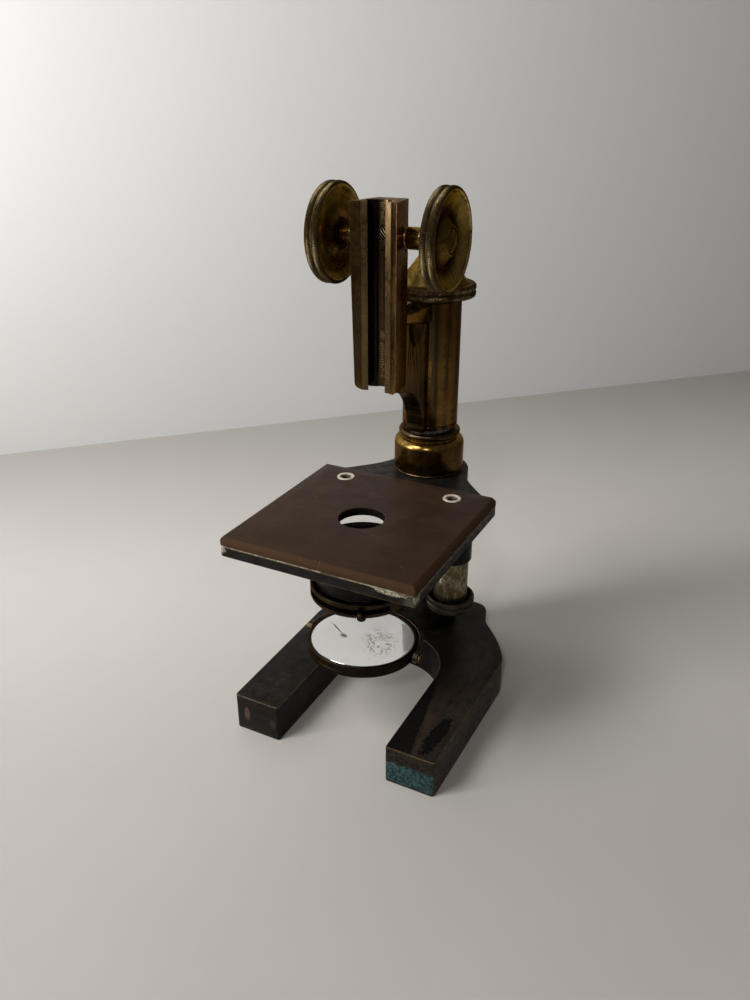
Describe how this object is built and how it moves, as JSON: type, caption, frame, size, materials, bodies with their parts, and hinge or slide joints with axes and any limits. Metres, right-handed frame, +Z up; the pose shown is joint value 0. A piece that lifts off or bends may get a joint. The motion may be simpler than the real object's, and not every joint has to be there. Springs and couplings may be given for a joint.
{
  "type": "compound microscope stand",
  "caption": "Horseshoe-foot microscope stand with square stage, round column, prism fine focus, rack block with milled knobs, swing-out iris and gimballed mirror.",
  "frame": {"origin": "on the underside of the foot, on the axis of the round column", "axes": "+Z up along the column and the optical axis, -Y towards the front of the stage, +X to the right seen from the front"},
  "size_m": [0.1046, 0.1371, 0.2427],
  "materials": {
    "black_lacquer": "worn glossy black lacquer, browned along the edges",
    "aged_ebonite": "oxidised chocolate-brown hard rubber, satin",
    "lacquered_brass": "darkened brown-gold lacquer with long vertical streaks",
    "polished_brass": "polished golden brass under clear lacquer",
    "worn_brass": "dull speckled yellow brass, greyer on the milling",
    "dark_bronze": "dark bronzed brass, brighter on the rims",
    "blued_steel": "blued and oiled steel",
    "worn_nickel": "nickel plate worn through to brass in patches",
    "ivory_bushing": "aged ivory-white bushing",
    "silvered_glass": "back-silvered glass with a few rust specks"
  },
  "bodies": {
    "stand": {"horseshoe_foot": "black_lacquer", "pillar": "black_lacquer", "foot_screw_left": "blued_steel", "foot_screw_right": "blued_steel", "stage_plate": "black_lacquer", "stage_top": "aged_ebonite", "clip_bushing_left": "ivory_bushing", "clip_bushing_right": "ivory_bushing", "stage_screw_front_left": "blued_steel", "stage_screw_front_right": "blued_steel", "stage_screw_back_left": "blued_steel", "stage_screw_back_right": "blued_steel", "column_collar": "polished_brass", "prism_bar": "blued_steel", "prism_end_plate": "blued_steel", "fine_focus_spring": "blued_steel", "substage_post": "blued_steel"},
    "limb": {"barrel": "lacquered_brass", "barrel_cap": "blued_steel", "coarse_block": "lacquered_brass", "pinion_cap": "lacquered_brass", "pinion_cap_screw_upper": "blued_steel", "pinion_cap_screw_lower": "blued_steel", "pinion_bush_left": "lacquered_brass", "pinion_bush_right": "lacquered_brass"},
    "coarse_drive": {"pinion": "blued_steel", "pinion_shaft": "blued_steel", "knob_sleeve_left": "polished_brass", "knob_sleeve_right": "polished_brass", "coarse_knob_left": "worn_brass", "coarse_knob_right": "worn_brass", "knob_screw_left": "worn_brass", "knob_screw_right": "worn_brass"},
    "fine_focus": {"fine_focus_head": "worn_brass", "micrometer_screw": "blued_steel", "head_cap_screw": "dark_bronze"},
    "substage_lift": {"substage_tube": "worn_nickel"},
    "substage_nut": {"substage_nut": "dark_bronze"},
    "substage": {"substage_arm": "black_lacquer", "iris_case": "dark_bronze", "iris_leaves": "blued_steel"},
    "iris": {"iris_drum": "dark_bronze", "iris_lever": "lacquered_brass"},
    "mirror_fork": {"mirror_fork": "black_lacquer", "mirror_pivot_left": "lacquered_brass", "mirror_pivot_right": "lacquered_brass"},
    "mirror": {"mirror_ring": "dark_bronze", "plane_mirror": "silvered_glass", "concave_mirror": "silvered_glass"}
  },
  "joints": [
    {"name": "fine_focus_turn", "type": "hinge", "parent": "stand", "child": "fine_focus", "pos_m": [0, 0, 0.1909], "axis": [0, 0, 1], "range_deg": [-1082, 1082]},
    {"name": "fine_focus_slide", "type": "slide", "parent": "stand", "child": "limb", "axis": [0, 0, 1], "range_m": [-0.0012, 0.0012]},
    {"name": "coarse_focus_turn", "type": "hinge", "parent": "limb", "child": "coarse_drive", "pos_m": [0, -0.046, 0.2224], "axis": [1, 0, 0], "continuous": true},
    {"name": "substage_nut_turn", "type": "hinge", "parent": "substage_lift", "child": "substage_nut", "pos_m": [0.0224, -0.0202, 0.0427], "axis": [0, 0, 1], "range_deg": [0, 91]},
    {"name": "substage_slide", "type": "slide", "parent": "stand", "child": "substage_lift", "axis": [0, 0, 1], "range_m": [0, 0.003]},
    {"name": "substage_swing", "type": "hinge", "parent": "substage_lift", "child": "substage", "pos_m": [0.0224, -0.0202, 0.086], "axis": [0, 0, 1], "range_deg": [0, 80]},
    {"name": "iris_turn", "type": "hinge", "parent": "substage", "child": "iris", "pos_m": [0, -0.0711, 0.0723], "axis": [0, 0, 1], "range_deg": [-75, 22]},
    {"name": "mirror_fork_turn", "type": "hinge", "parent": "stand", "child": "mirror_fork", "pos_m": [0, -0.0173, 0.0448], "axis": [0, 1, 0], "range_deg": [-40, 40]},
    {"name": "mirror_tilt", "type": "hinge", "parent": "mirror_fork", "child": "mirror", "pos_m": [0, -0.0711, 0.0448], "axis": [1, 0, 0], "continuous": true}
  ],
  "couplings": [
    {"joint": "fine_focus_turn", "follows": "fine_focus_slide", "rad_per_m": -15708},
    {"joint": "substage_nut_turn", "follows": "substage_slide", "rad_per_m": 523.6}
  ]
}
